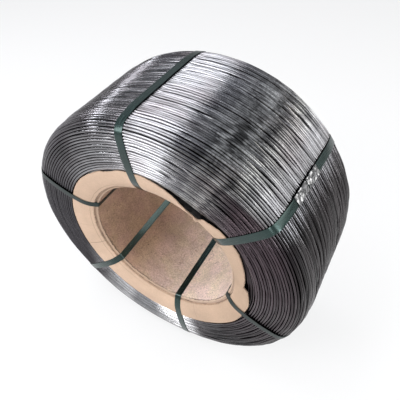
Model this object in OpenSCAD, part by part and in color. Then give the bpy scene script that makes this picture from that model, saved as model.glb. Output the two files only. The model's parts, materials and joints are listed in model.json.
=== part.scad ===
// Strapped coil of round steel wire on a board core, lying on its side.
// The coil is turned about its axis, then laid down with the axis level, along Y.
// The origin is on the floor, below the middle of the coil. The near end faces -Y.

/* [Winding] */
// Diameter over the wires, between the straps
coil_od = 640; // [600:1:700]
// Width over the crowned ends
coil_w = 295; // [260:1:340]
// Diameter of one wire
wire_d = 5; // [4:0.1:7]
// Gap between neighbouring turns
turn_gap = 0.15; // [0.05:0.01:0.4]
// Depth of the grooves between the turns
groove_depth = 1.75; // [1:0.05:1.9]
// Diameter of the circle on which each end is highest
crest_d = 504; // [480:1:530]
// Radius of the crown across each end, from the core to the shoulder
crown_r = 380; // [340:1:450]
// Radius of the shoulder between an end and the barrel
shoulder_r = 26; // [20:1:32]
// Radius of the haunch that runs from the shoulder into the straight barrel
haunch_r = 250; // [200:1:280]
// Angle that the haunch turns through
haunch_turn = 12; // [8:0.5:14]

/* [Core and collars] */
// Bore of the core tube
core_id = 328; // [310:1:340]
// Wall of the core tube
core_wall = 8; // [6:0.5:10]
// How far the ends of the tube sit below the crowns
core_drop = 18.5; // [16:0.5:24]
// Rounding of the inner edges of the tube
core_edge_r = 4; // [3:0.5:5]
// Outer diameter of the collars
collar_od = 436; // [424:1:444]
// Thickness of the collar board
collar_t = 3; // [2:0.1:3.5]
// Radius of the dish of the collars
dish_r = 70; // [60:1:80]
// Gap between the rim of a collar and the first turn beside it
collar_gap = 3; // [2:0.1:6]
// Clearance where one piece sits on another
seat_gap = 0.3; // [0.2:0.05:0.5]

/* [Straps and seals] */
// Angle of each strap from the top, clockwise as seen from the near end
strap_angles = [-10, 48, 107, 167, 227, 289]; // [-20:0.5:300]
// Width of the straps
strap_w = 16; // [13:0.5:19]
// Thickness of the straps
strap_t = 0.4; // [0.3:0.05:0.5]
// Clearance between the edges of a strap and the wall of the bore
strap_edge_gap = 0.15; // [0.1:0.01:0.2]
// Length of one seal
seal_l = 47; // [35:1:50]
// Sheet thickness of the seals
seal_t = 0.9; // [0.7:0.1:1.2]
// Gap between the two seals of a joint
seal_space = 3; // [1:0.5:10]
// Depth of the crimp notches in the sides of a seal
notch_depth = 2.4; // [1.5:0.1:4]
// Width of a crimp notch at the side of the seal
notch_w = 7; // [4:0.5:9]
// Distance between the two notches on one side
notch_space = 19; // [14:0.5:24]
// Height of the middle of a strap joint above the middle of the barrel, towards the near end
joint_shift = 24; // [-40:1:24]
// Length of the free strap end that sticks out of the seals
tail_l = 10; // [4:1:20]

/* [Hidden] */
$fn = 96;

// Steps in which the arcs of the outlines and the rounds of the turns are drawn
ARC_STEPS = 8;
TURN_STEPS = 5;
// Overlap of the two layers of a strap joint, so that they are one solid
LAP_SINK = 0.05;
// The torn rim of the near collar: angle from the top, and how far the rim is drawn in there
RIM_WEAR = [
    [-44, 1], [-38, 2], [-31, 2], [-29, 5], [-24, 5], [-19, 1.5], [-11, 1], [-4, 1], [4, 7], [8, 11],
    [12, 16], [18, 26], [22, 32], [24.5, 38], [27.5, 40], [28.5, 30], [30, 19], [34, 17], [40, 7], [47, 4],
    [54, 4], [60, 8], [66, 12], [74, 17], [82, 22], [84, 13], [90, 8], [97, 5.5], [104, 5.5], [112, 3]
];
// How far outside the sound part of that rim its cutting line runs, and the steps in which it is drawn
RIM_CLEAR = 3;
RIM_STEPS = 24;

coil_r = coil_od / 2;
half_w = coil_w / 2;
wire_r = wire_d / 2;
core_r = core_id / 2;
core_outer_r = core_r + core_wall;
core_half = half_w - core_drop;
winding_bore_r = core_outer_r + seat_gap;
collar_r = collar_od / 2;
collar_inner_r = core_outer_r + seat_gap;
first_turn_r = collar_r + collar_gap + wire_r;
strap_bore_r = sqrt((core_r - strap_edge_gap) ^ 2 - (strap_w / 2) ^ 2);
strap_gap = core_r - strap_bore_r;
seal_pitch = seal_l + seal_space;
joint_half = seal_l + seal_space / 2;

function direction(a) = [cos(a), sin(a)];
function angle_of(v) = atan2(v.y, v.x);
// Angle at which an arc of centre c and radius r passes a given distance from the axis
function angle_at(c, r, x) = acos((x - c.x) / r);
// Centre of the arc that is tangent, from inside, to two others at these distances from their centres
function meeting_centre(c1, d1, c2, d2) =
    let (
        span = norm(c2 - c1),
        along = (span ^ 2 + d1 ^ 2 - d2 ^ 2) / (2 * span),
        aside = sqrt(d1 ^ 2 - along ^ 2),
        to = (c2 - c1) / span
    )
    c1 + along * to + aside * [to.y, -to.x];

// The outline of one end, in the plane of the axis: [x = distance from the axis, y = height on it].
// It is a row of tangent arcs, from the bore over the tube's edge, dish, crown and shoulder to the barrel.
haunch_side = coil_r - haunch_r + (haunch_r - shoulder_r) * cos(haunch_turn);
crest_r = crest_d / 2;
crown_c = [crest_r, half_w - crown_r];
crown_end = acos((haunch_side - crest_r) / (crown_r - shoulder_r));
shoulder_c = crown_c + (crown_r - shoulder_r) * direction(crown_end);
haunch_c = shoulder_c - (haunch_r - shoulder_r) * direction(haunch_turn);
edge_c = [core_r + core_edge_r, core_half - core_edge_r];
dish_c = meeting_centre(crown_c, crown_r - dish_r, edge_c, dish_r - core_edge_r);
dish_start = angle_of(edge_c - dish_c);
dish_end = angle_of(dish_c - crown_c);

// Each arc is [centre, radius, angle where it starts, angle where it ends]
edge_arc = [edge_c, core_edge_r, 180, dish_start];
dish_arc = [dish_c, dish_r, dish_start, dish_end];
crown_arc = [crown_c, crown_r, dish_end, crown_end];
shoulder_arc = [shoulder_c, shoulder_r, crown_end, haunch_turn];
haunch_arc = [haunch_c, haunch_r, haunch_turn, 0];

// Points of an arc whose radius is larger by d
function arc_points(arc, d, steps = ARC_STEPS) = [
    for (i = [0 : steps])
        arc[0] + (arc[1] + d) * direction(arc[2] + (arc[3] - arc[2]) * i / steps)
];
// Arc cut short so that it starts or ends at a distance x from the axis, where it is drawn d larger
function starting_at(arc, d, x) = [arc[0], arc[1], angle_at(arc[0], arc[1] + d, x), arc[3]];
function ending_at(arc, d, x) = [arc[0], arc[1], arc[2], angle_at(arc[0], arc[1] + d, x)];
function row_points(arcs, d) = [for (arc = arcs) each arc_points(arc, d)];
function reversed(list) = [for (i = [len(list) - 1 : -1 : 0]) list[i]];
function mirrored(points) = [for (p = points) [p.x, -p.y]];
// Closed outline from the points of its upper half
function both_halves(points) = concat(points, reversed(mirrored(points)));

// Point at a distance s along a row of arcs drawn d larger, and then along the barrel, with the angle there
function place_along(arcs, d, s, i = 0) =
    i == len(arcs) ? [[coil_r + d, haunch_c.y - s], 0] :
    let (
        radius = arcs[i][1] + d,
        length = radius * (arcs[i][2] - arcs[i][3]) * PI / 180,
        angle = arcs[i][2] - s / radius * 180 / PI
    )
    s < length ? [arcs[i][0] + radius * direction(angle), angle] :
    place_along(arcs, d, s - length, i + 1);
function row_length(arcs, d) =
    [for (arc = arcs) (arc[1] + d) * (arc[2] - arc[3]) * PI / 180] * [for (arc = arcs) 1];

turn_row = [starting_at(crown_arc, -wire_r, first_turn_r), shoulder_arc, haunch_arc];
half_row_l = row_length(turn_row, -wire_r) + haunch_c.y;
half_turns = floor(half_row_l / (wire_d + turn_gap) + 0.5);
turn_pitch = half_row_l / (half_turns - 0.5);

// Lays the turned coil down: its near end, which is up while it is turned, faces -Y
module lay_down() {
    translate([0, 0, coil_r])
        rotate([90, 0, 0])
            children();
}

// Round top of turn k, from groove to groove. The turn beside the collar shows its whole flank there.
function turn_points(k) =
    let (
        place = place_along(turn_row, -wire_r, k * turn_pitch),
        flank = acos((wire_r - groove_depth) / wire_r),
        arc = [place[0], wire_r, place[1] + (k == 0 ? 90 : flank), place[1] - flank]
    )
    arc_points(arc, 0, TURN_STEPS);

// Section of the winding: its bore, the seat of the collar and a round for each outer turn of wire
module winding_section() {
    seat = -collar_t - seat_gap;
    seat_points = concat(
        arc_points(starting_at(dish_arc, seat, winding_bore_r), seat),
        arc_points(ending_at(crown_arc, seat, collar_r + collar_gap), seat)
    );
    turns = [for (k = [0 : half_turns - 1]) each turn_points(k)];
    polygon(both_halves(concat(seat_points, turns)));
}

module wire_coil() {
    color([0.62, 0.62, 0.63])
        lay_down()
            rotate_extrude()
                winding_section();
}

module core_tube() {
    inner_edge = arc_points([edge_c, core_edge_r, 180, 90], 0);
    color([0.72, 0.6, 0.47])
        lay_down()
            rotate_extrude()
                polygon(both_halves(concat(inner_edge, [[core_outer_r, core_half]])));
}

// Dished board ring that lies on the winding round one end of the tube
module collar() {
    function face(d) = concat(
        arc_points(starting_at(dish_arc, 0, collar_inner_r), d),
        arc_points(ending_at(crown_arc, 0, collar_r), d)
    );
    color([0.87, 0.74, 0.6])
        rotate_extrude()
            polygon(concat(face(0), reversed(face(-collar_t))));
}

// What is left of the near collar inside the line of its torn rim
module torn_rim() {
    first = RIM_WEAR[0][0];
    last = RIM_WEAR[len(RIM_WEAR) - 1][0];
    sound = first + 360 - last;
    worn_points = [for (w = RIM_WEAR) (collar_r - w[1]) * direction(90 - w[0])];
    sound_points = [
        for (i = [1 : RIM_STEPS - 1])
            (collar_r + RIM_CLEAR) * direction(90 - last - sound * i / RIM_STEPS)
    ];
    linear_extrude(coil_w)
        polygon(concat(worn_points, sound_points));
}

module collar_near() {
    lay_down()
        intersection() {
            collar();
            torn_rim();
        }
}

module collar_far() {
    lay_down()
        mirror([0, 0, 1])
            collar();
}

// Turns what is drawn in the plane of the axis, towards +X, to the angle of strap i
module at_strap(i) {
    lay_down()
        rotate([0, 0, 90 - strap_angles[i]])
            children();
}

function strap_outline(d) =
    both_halves(row_points([edge_arc, dish_arc, crown_arc, shoulder_arc, haunch_arc], d));

// Second layer of a strap joint on the barrel, with the free end towards the far end
module barrel_lap() {
    translate([coil_r + strap_gap + strap_t - LAP_SINK, joint_shift - joint_half - tail_l])
        square([strap_t + LAP_SINK, 2 * joint_half + tail_l]);
}

// Second layer of a strap joint on the far end, along its crown
module end_lap() {
    reach = (joint_half + tail_l) / crown_r * 180 / PI;
    lap_arc = [crown_c, crown_r, 90 + reach, 90 - reach];
    lower = arc_points(lap_arc, strap_gap + strap_t - LAP_SINK);
    upper = arc_points(lap_arc, strap_gap + 2 * strap_t);
    polygon(mirrored(concat(lower, reversed(upper))));
}

module strap(i, joint_on_end = false) {
    color([0.09, 0.2, 0.18])
        at_strap(i)
            rotate([90, 0, 0])
                union() {
                    linear_extrude(strap_w, center = true)
                        difference() {
                            polygon(strap_outline(strap_gap + strap_t));
                            polygon(strap_outline(strap_gap));
                        }
                    linear_extrude(strap_w, center = true)
                        if (joint_on_end)
                            end_lap();
                        else
                            barrel_lap();
                }
}

// One seal: a folded channel over both layers of the strap, open below, with crimp notches in its sides.
// It lies along Z, and X = 0 is the underside of the strap.
module seal() {
    inside_w = strap_w + 2 * seat_gap;
    inside_h = 2 * strap_t + seat_gap;
    outside_w = inside_w + 2 * seal_t;
    side = outside_w / 2;
    color([0.78, 0.78, 0.76])
        difference() {
            linear_extrude(seal_l, center = true)
                difference() {
                    translate([0, -side])
                        square([inside_h + seal_t, outside_w]);
                    translate([-seal_t, -inside_w / 2])
                        square([inside_h + seal_t, inside_w]);
                }
            for (end = [-1, 1], flank = [-1, 1])
                translate([0, flank * side, end * notch_space / 2])
                    rotate([0, 90, 0])
                        linear_extrude(4 * inside_h, center = true)
                            polygon([
                                [-notch_w / 2, flank * seal_t],
                                [-notch_w / 4, -flank * notch_depth],
                                [notch_w / 4, -flank * notch_depth],
                                [notch_w / 2, flank * seal_t]
                            ]);
        }
}

// The two seals of the joint of strap i
module seals(i, joint_on_end = false) {
    at_strap(i)
        for (k = [-1, 1])
            if (joint_on_end)
                translate([crown_c.x, 0, -crown_c.y])
                    rotate([0, 90 + k * seal_pitch / 2 / crown_r * 180 / PI, 0])
                        translate([crown_r + strap_gap, 0, 0])
                            seal();
            else
                translate([coil_r + strap_gap, 0, joint_shift + k * seal_pitch / 2])
                    seal();
}

module strap_a() strap(0, joint_on_end = true);
module strap_b() strap(1);
module strap_c() strap(2);
module strap_d() strap(3);
module strap_e() strap(4);
module strap_f() strap(5);
module seals_a() seals(0, joint_on_end = true);
module seals_b() seals(1);
module seals_c() seals(2);
module seals_d() seals(3);
module seals_e() seals(4);
module seals_f() seals(5);

wire_coil();
core_tube();
collar_near();
collar_far();
strap_a();
strap_b();
strap_c();
strap_d();
strap_e();
strap_f();
seals_a();
seals_b();
seals_c();
seals_d();
seals_e();
seals_f();
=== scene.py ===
import json
import math

import bpy
from bpy.props import FloatProperty, FloatVectorProperty, IntProperty, PointerProperty
from mathutils import Matrix, Vector, noise


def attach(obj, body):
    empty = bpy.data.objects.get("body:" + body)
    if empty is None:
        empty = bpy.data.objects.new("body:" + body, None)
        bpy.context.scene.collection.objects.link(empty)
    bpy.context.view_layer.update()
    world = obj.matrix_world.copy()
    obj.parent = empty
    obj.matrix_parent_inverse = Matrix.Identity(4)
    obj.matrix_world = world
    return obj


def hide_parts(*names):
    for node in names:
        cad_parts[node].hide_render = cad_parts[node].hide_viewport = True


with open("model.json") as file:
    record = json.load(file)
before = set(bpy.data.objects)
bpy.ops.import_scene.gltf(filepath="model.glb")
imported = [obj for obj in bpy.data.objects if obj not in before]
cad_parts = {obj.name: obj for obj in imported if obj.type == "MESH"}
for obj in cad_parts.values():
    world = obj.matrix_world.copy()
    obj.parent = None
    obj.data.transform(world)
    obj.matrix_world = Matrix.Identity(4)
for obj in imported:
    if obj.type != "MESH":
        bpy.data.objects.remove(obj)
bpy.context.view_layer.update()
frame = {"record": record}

bl_info = {
    "name": "Strapped wire coil",
    "version": (1, 0, 0),
    "blender": (4, 5, 0),
    "location": "View3D > Sidebar > Wire coil",
    "description": "Dresses the solids of a strapped coil of steel wire on a board core",
    "category": "Object",
}

BODY = "root"
MM = 0.001
BORE = next(mount for mount in frame["record"]["mounts"] if mount["name"] == "bore")
# The middle of the coil; its axis runs along Y and its near end faces -Y
CENTRE = Vector(BORE["pos_m"])
STRAP_LETTERS = "abcdef"


# Sizes and colours

def length(name, description, default):
    return FloatProperty(name=name, description=description, default=default, unit="LENGTH", precision=5)


def angle(name, description, degrees):
    return FloatProperty(name=name, description=description, default=math.radians(degrees), subtype="ANGLE")


def strap_angles(name, description, *degrees):
    """One angle for each strap"""
    radians = [math.radians(a) for a in degrees]
    return FloatVectorProperty(
        name=name, description=description, size=len(radians), default=radians, unit="ROTATION")


def colour(name, description, default):
    return FloatVectorProperty(
        name=name, description=description, default=default, subtype="COLOR", min=0, max=1)


class WindingSettings(bpy.types.PropertyGroup):
    """Sizes and colours of the wound wire"""
    coil_d: length("Coil diameter", "Diameter over the wires at the straps", 2 * CENTRE.z)
    coil_w: length("Coil width", "Width over the crowned ends at the straps", 295 * MM)
    wire_d: length("Wire diameter", "Diameter of one wire", 5 * MM)
    turn_gap: length("Turn gap", "Mean gap between neighbouring turns", 0.15 * MM)
    crest_d: length("Crest diameter", "Circle on which each end is highest", 504 * MM)
    crown_r: length("Crown radius", "Radius of the crown across an end", 380 * MM)
    shoulder_r: length("Shoulder radius", "Radius between an end and the barrel", 26 * MM)
    haunch_r: length("Haunch radius", "Radius between shoulder and straight barrel", 250 * MM)
    haunch_turn: angle("Haunch turn", "Angle that the haunch turns through", 12)
    bulge: length("Bulge", "How far the wires swell out between two straps", 1.2 * MM)
    slack: length("Slack", "How far the turns of the barrel lie below the straps", 2 * MM)
    wander: length("Wander", "How far the turns stray sideways in bunches", 0.5 * MM)
    jitter: length("Jitter", "How far single turns stray sideways", 0.9 * MM)
    lift: length("Lift", "How far single turns rise or sink", 0.7 * MM)
    ripple: length("Ripple", "How far single turns wave in and out", 0.5 * MM)
    sink: length("Sink", "How far single turns dip below their neighbours in places", 2.2 * MM)
    stray_share: FloatProperty(
        name="Stray turns", description="Share of turns that cross others", default=0.02, subtype="FACTOR")
    stray_wander: length("Stray wander", "How far a crossing turn strays sideways", 7 * MM)
    pinch: angle("Pinch", "Angle beside a strap in which the wires swell out", 22)
    hold: angle("Hold", "Angle beside a strap in which it still holds the wires level", 3)
    seed: IntProperty(name="Seed", description="Seed of all that is random in the turns", default=7)
    steel: colour("Steel", "Colour of the clean wire on the barrel", (0.215, 0.215, 0.227))
    # Painted light: the clean wire of the ends is paler than that of the barrel, to brighten the highlights
    # on the ends
    bright: colour("Bright steel", "Colour of the clean wire on the ends", (0.34, 0.34, 0.352))
    tarnish: colour("Tarnish", "Colour of the dull brown patches", (0.145, 0.118, 0.123))
    # Painted highlight: the colour of the highlights painted on the ends
    painted_highlight: colour("Polish", "Colour of the wire where it is rubbed bright", (0.75, 0.75, 0.76))
    # Painted shade: the next four colours darken the wire on the flanks, tinted brown and darkest low on the
    # right of the ends
    left_shade: colour("Film", "Colour of the darker wire on the left flank", (0.09, 0.084, 0.094))
    right_shade: colour("Stain", "Colour of the darkest wire, on the right flank", (0.07, 0.054, 0.061))
    right_shade_low: colour("Low stain", "The same, low on the ends", (0.046, 0.044, 0.047))
    right_shade_barrel: colour("Barrel stain", "The same, on the barrel", (0.056, 0.052, 0.053))


class CoreSettings(bpy.types.PropertyGroup):
    """Sizes and colours of the board core and its collars"""
    bore_d: length("Bore", "Bore of the core tube", 2 * BORE["dims"]["r_mm"] * MM)
    wall: length("Wall", "Wall of the core tube", 8 * MM)
    drop: length("Drop", "How far the ends of the tube sit below the crowns", 18.5 * MM)
    edge_r: length("Edge radius", "Rounding of the inner edges of the tube", 4 * MM)
    ply_groove: length("Ply groove", "Depth of the groove between two plies on the tube's ends", 1.2 * MM)
    collar_d: length("Collar diameter", "Outer diameter of the collars", 436 * MM)
    collar_t: length("Collar board", "Thickness of the collar board", 3 * MM)
    dish_r: length("Dish radius", "Radius of the dish of the collars", 70 * MM)
    collar_gap: length("Collar gap", "Gap between the rim of a collar and the first turn", 3 * MM)
    seat_gap: length("Seat gap", "Clearance where one piece sits on another", 0.3 * MM)
    channel: length("Channel", "Depth of the hollow below the rim of a collar", 16 * MM)
    shelf: IntProperty(name="Shelf", description="Turns of wire below the rim of a collar", default=4)
    collar_board: colour("Collar board colour", "Pale tan board", (0.6, 0.425, 0.305))
    tube_board: colour("Tube board colour", "Brown board of the bore", (0.31, 0.2, 0.138))
    # Painted light: the paler colour of the bore's lit right side
    lit_side_board: colour("Dusty board colour", "Paler board on the dusty side of the bore", (0.97, 0.83, 0.73))


class StrapSettings(bpy.types.PropertyGroup):
    """Sizes and colours of the straps and their seals"""
    angles: strap_angles(
        "Angles", "Angle of each strap from the top, seen from the near end", -10, 47.5, 107, 167, 227, 289)
    leans: strap_angles(
        "Leans", "Angle that each strap turns back per metre towards the near end", 0, 8, 0, 0, 0, 0)
    tips: strap_angles(
        "Tips", "Angle by which each strap stands on one edge on the near end", 0, 0, -6, 0, 0, 5)
    strap_w: length("Strap width", "Width of the straps", 16 * MM)
    strap_t: length("Strap thickness", "Thickness of the straps", 0.4 * MM)
    edge_gap: length("Edge gap", "Clearance between a strap's edges and the bore", 0.15 * MM)
    seal_l: length("Seal length", "Length of one seal", 47 * MM)
    seal_t: length("Seal sheet", "Sheet thickness of the seals", 0.9 * MM)
    seal_space: length("Seal space", "Gap between the two seals of a joint", 3 * MM)
    joint_shift: length("Joint shift", "Place of the joints along the barrel, towards the near end", 24 * MM)
    tail_l: length("Tail", "Free strap end beyond the seals", 10 * MM)
    paint: colour("Paint", "Dark green lacquer of the straps", (0.021, 0.042, 0.038))
    zinc: colour("Zinc", "Bright zinc of the seals", (0.28, 0.28, 0.285))


class StageSettings(bpy.types.PropertyGroup):
    """Camera and studio"""
    azimuth: angle("Azimuth", "Direction of the camera round the coil", 29.7)
    elevation: angle("Elevation", "Height of the camera above the coil's middle", 48.4)
    distance: length("Distance", "Distance of the camera from the coil's middle", 0.928)
    lens: FloatProperty(name="Lens", description="Focal length in millimetres", default=36.45)
    shift: FloatVectorProperty(
        name="Shift", description="Shift of the frame", size=2, default=(0.0215, 0.024))
    floor: colour("Floor", "Colour of the floor", (0.8, 0.8, 0.8))


def coil_plan():
    """The settings of the coil's pieces and the outline that follows from them"""
    scene = bpy.context.scene
    groups = (scene.coil_winding, scene.coil_core, scene.coil_straps)
    return (*groups, Outline(*groups))


# The outline of one end, in the plane of the axis: x is the distance from the axis, y the height on it

def direction(a):
    return Vector((math.cos(a), math.sin(a)))


def flipped(v):
    """The same point or direction on the far half of the outline"""
    return Vector((v.x, -v.y))


class Arc:
    """Arc of the outline, from one angle to another"""

    def __init__(self, centre, radius, start, end):
        self.centre = centre
        self.radius = radius
        self.start = start
        self.end = end

    def at(self, a, d=0.0):
        return self.centre + (self.radius + d) * direction(a)

    def length(self, d=0.0):
        return (self.radius + d) * (self.start - self.end)

    def angles(self, steps):
        return [self.start + (self.end - self.start) * i / steps for i in range(steps + 1)]

    def points(self, d, steps):
        return [self.at(a, d) for a in self.angles(steps)]

    def cut(self, d, start_r=None, end_r=None):
        """The same arc, starting or ending at a distance from the axis where it is drawn d larger"""
        start = self.start if start_r is None else self.angle_at(d, start_r)
        end = self.end if end_r is None else self.angle_at(d, end_r)
        return Arc(self.centre, self.radius, start, end)

    def angle_at(self, d, r):
        return math.acos((r - self.centre.x) / (self.radius + d))


class Outline:
    """The row of tangent arcs from the bore over the tube's edge, dish, crown and shoulder to the barrel"""

    def __init__(self, winding, core, straps):
        self.coil_r = winding.coil_d / 2
        self.core_r = core.bore_d / 2
        self.tube_r = self.core_r + core.wall
        self.collar_r = core.collar_d / 2
        half_w = winding.coil_w / 2
        self.core_half = half_w - core.drop
        shoulder_to_haunch = winding.haunch_r - winding.shoulder_r
        haunch_side = self.coil_r - winding.haunch_r + shoulder_to_haunch * math.cos(winding.haunch_turn)
        crown_c = Vector((winding.crest_d / 2, half_w - winding.crown_r))
        crown_end = math.acos((haunch_side - crown_c.x) / (winding.crown_r - winding.shoulder_r))
        shoulder_c = crown_c + (winding.crown_r - winding.shoulder_r) * direction(crown_end)
        haunch_c = shoulder_c - shoulder_to_haunch * direction(winding.haunch_turn)
        edge_c = Vector((self.core_r + core.edge_r, self.core_half - core.edge_r))
        dish_c = self.meeting(crown_c, winding.crown_r - core.dish_r, edge_c, core.dish_r - core.edge_r)
        dish_start = self.angle_of(edge_c - dish_c)
        dish_end = self.angle_of(dish_c - crown_c)
        self.edge = Arc(edge_c, core.edge_r, math.pi, dish_start)
        self.dish = Arc(dish_c, core.dish_r, dish_start, dish_end)
        self.crown = Arc(crown_c, winding.crown_r, dish_end, crown_end)
        self.shoulder = Arc(shoulder_c, winding.shoulder_r, crown_end, winding.haunch_turn)
        self.haunch = Arc(haunch_c, winding.haunch_r, winding.haunch_turn, 0.0)
        self.barrel_half = haunch_c.y
        half_strap = straps.strap_w / 2
        self.strap_half_angle = half_strap / self.coil_r
        self.strap_gap = self.core_r - math.sqrt((self.core_r - straps.edge_gap) ** 2 - half_strap ** 2)

    @staticmethod
    def angle_of(v):
        return math.atan2(v.y, v.x)

    @staticmethod
    def meeting(c1, d1, c2, d2):
        """Centre of the arc that is tangent, from inside, to two others"""
        to = (c2 - c1).normalized()
        span = (c2 - c1).length
        along = (span ** 2 + d1 ** 2 - d2 ** 2) / (2 * span)
        aside = math.sqrt(d1 ** 2 - along ** 2)
        return c1 + along * to + aside * Vector((to.y, -to.x))

    def place_along(self, arcs, d, s):
        """Point and outward angle at a distance s along the arcs and then the barrel"""
        for arc in arcs:
            if s < arc.length(d):
                a = arc.start - s / (arc.radius + d)
                return arc.at(a, d), a
            s -= arc.length(d)
        return Vector((self.coil_r + d, self.barrel_half - s)), 0.0


def on_coil(r, h, a, aside=0.0):
    """Point at a distance r from the axis and h towards the near end, at an angle from the top"""
    return Vector((
        r * math.sin(a) + aside * math.cos(a),
        -h,
        CENTRE.z + r * math.cos(a) - aside * math.sin(a)))


def round_way(a):
    """Direction from the axis at an angle from the top"""
    return Vector((math.sin(a), 0.0, math.cos(a)))


def both_halves(points):
    return points + [flipped(p) for p in reversed(points)]


# Node and mesh helpers

class Graph:
    """Adds nodes to a tree; an input is a plain value or the output of another node"""

    def __init__(self, tree):
        self.tree = tree

    def feed(self, node, inputs):
        """Sets or links inputs of a node"""
        for key, value in dict(inputs).items():
            if isinstance(value, bpy.types.NodeSocket):
                self.tree.links.new(value, node.inputs[key])
            else:
                node.inputs[key].default_value = value

    def add(self, kind, inputs=(), **choices):
        node = self.tree.nodes.new(kind)
        for name, value in choices.items():
            setattr(node, name, value)
        self.feed(node, inputs)
        return node

    def math(self, operation, *values):
        return self.add("ShaderNodeMath", enumerate(values), operation=operation).outputs[0]

    def sum(self, value, *others):
        for other in others:
            value = self.math("ADD", value, other)
        return value

    def product(self, value, *others):
        for other in others:
            value = self.math("MULTIPLY", value, other)
        return value

    def minus(self, value, other):
        return self.math("SUBTRACT", value, other)

    def linear(self, value, factor, added):
        """A value times a factor, and something added"""
        return self.math("MULTIPLY_ADD", value, factor, added)

    def vector(self, operation, *values):
        return self.add("ShaderNodeVectorMath", enumerate(values), operation=operation).outputs["Vector"]

    def scaled(self, vector, factor):
        node = self.add("ShaderNodeVectorMath", {"Vector": vector, "Scale": factor}, operation="SCALE")
        return node.outputs["Vector"]

    def combined(self, x, y, z):
        return self.add("ShaderNodeCombineXYZ", {"X": x, "Y": y, "Z": z}).outputs[0]

    def parts(self, vector):
        return self.add("ShaderNodeSeparateXYZ", {0: vector}).outputs

    def point(self):
        """Object coordinates of a material"""
        return self.add("ShaderNodeTexCoord").outputs["Object"]

    def noise(self, vector, scale, detail=2.0, roughness=0.5):
        inputs = {"Vector": vector, "Scale": scale, "Detail": detail, "Roughness": roughness}
        return self.add("ShaderNodeTexNoise", inputs).outputs[0]

    def range(self, value, from_low, from_high, to_low=0.0, to_high=1.0, kind="LINEAR"):
        inputs = {0: value, 1: from_low, 2: from_high, 3: to_low, 4: to_high}
        return self.add("ShaderNodeMapRange", inputs, interpolation_type=kind).outputs[0]

    def smooth(self, value, low, high):
        """Smooth step from 0 to 1"""
        return self.range(value, low, high, kind="SMOOTHSTEP")

    def line(self, value, middle, inner, outer, strength):
        """Line where a value is close to its middle: full as far as inner, and gone at outer"""
        off = self.math("ABSOLUTE", self.minus(value, middle))
        return self.range(off, inner, outer, strength, 0.0)

    def ramp(self, value, *stops):
        """Colour ramp through (place, colour) stops"""
        node = self.add("ShaderNodeValToRGB", {"Fac": value})
        elements = node.color_ramp.elements
        while len(elements) < len(stops):
            elements.new(0.5)
        for element, (place, shade) in zip(elements, stops):
            element.position = place
            element.color = rgba(shade)
        return node.outputs["Color"]

    def mix(self, factor, first, second, blend="MIX"):
        """Mix of two colours, each a Vector or the output of another node"""
        first, second = (rgba(v) if isinstance(v, Vector) else v for v in (first, second))
        inputs = {0: factor, 6: first, 7: second}
        return self.add("ShaderNodeMix", inputs, data_type="RGBA", blend_type=blend).outputs[2]

    def shaded(self, shade, factor):
        """A colour times a number"""
        return self.mix(1.0, shade, self.combined(factor, factor, factor), blend="MULTIPLY")

    def bump(self, height, strength, distance):
        inputs = {"Height": height, "Strength": strength, "Distance": distance}
        return self.add("ShaderNodeBump", inputs).outputs[0]


def rgba(shade):
    return (*shade, 1.0)


def node_of(tree, kind):
    """The node of a kind that a new tree comes with"""
    return next(node for node in tree.nodes if node.type == kind)


def new_material(name):
    """Material with its graph and its main shader"""
    material = bpy.data.materials.new(name)
    material.use_nodes = True
    return material, Graph(material.node_tree), node_of(material.node_tree, "BSDF_PRINCIPLED")


def new_mesh(name, verts, faces=()):
    mesh = bpy.data.meshes.new(name)
    mesh.from_pydata(verts, [], faces)
    return mesh


def strip_faces(start, rows, count, closed=True, flip=False):
    """Faces between neighbouring rows of points, each row a closed section; an open strip has end faces"""
    faces = []
    for i in range(rows if closed else rows - 1):
        here = start + i * count
        there = start + (i + 1) % rows * count
        for k in range(count):
            m = (k + 1) % count
            face = (here + k, there + k, there + m, here + m)
            faces.append((face[0], *face[:0:-1]) if flip else face)
    if not closed:
        first = tuple(range(start, start + count))
        last = tuple(range(start + (rows - 1) * count, start + rows * count))
        faces += [first[::-1], last] if flip else [first, last[::-1]]
    return faces


def turned_mesh(name, sections):
    """Mesh round the axis through (angle, section) pairs, each section a closed row of points"""
    verts = [on_coil(p.x, p.y, a) for a, section in sections for p in section]
    return new_mesh(name, verts, strip_faces(0, len(sections), len(sections[0][1])))


def in_scene(name, data):
    thing = bpy.data.objects.new(name, data)
    bpy.context.scene.collection.objects.link(thing)
    return thing


def add_piece(name, mesh, nodes):
    """Puts a finished mesh in the scene, as a piece that stands for CAD nodes"""
    piece = in_scene(name, mesh)
    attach(piece, BODY)
    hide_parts(*nodes)


def finish_mesh(mesh, material, sharp_angle):
    mesh.materials.append(material)
    mesh.validate()
    mesh.shade_smooth()
    mesh.set_sharp_from_angle(angle=sharp_angle)
    return mesh


# Materials

class Place:
    """Where a point of a material lies on the coil"""

    def __init__(self, graph):
        self.graph = graph
        self.point = graph.point()
        parts = graph.parts(self.point)
        self.x = parts["X"]
        self.y = parts["Y"]
        # Height above the axis
        self.up = graph.minus(parts["Z"], CENTRE.z)

    def out(self):
        """Distance from the axis"""
        across = self.graph.product(self.x, self.x)
        return self.graph.math("SQRT", self.graph.linear(self.up, self.up, across))

    def turn(self):
        """Angle from the top"""
        return self.graph.math("ARCTAN2", self.x, self.up)

    def along(self, a):
        """Distance from the axis in one direction, at an angle from the top"""
        return self.graph.linear(self.x, math.sin(a), self.graph.product(self.up, math.cos(a)))

    def aside(self, a):
        """Distance sideways from that direction"""
        return self.graph.linear(self.x, math.cos(a), self.graph.product(self.up, -math.sin(a)))


# Stretch of X in which the look of the left side goes over into that of the right side
MIDDLE = (-100 * MM, 100 * MM)
# Distances from the axis between which the ends of the winding go over into its barrel
BARREL_EDGE = (290 * MM, 315 * MM)
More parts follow.
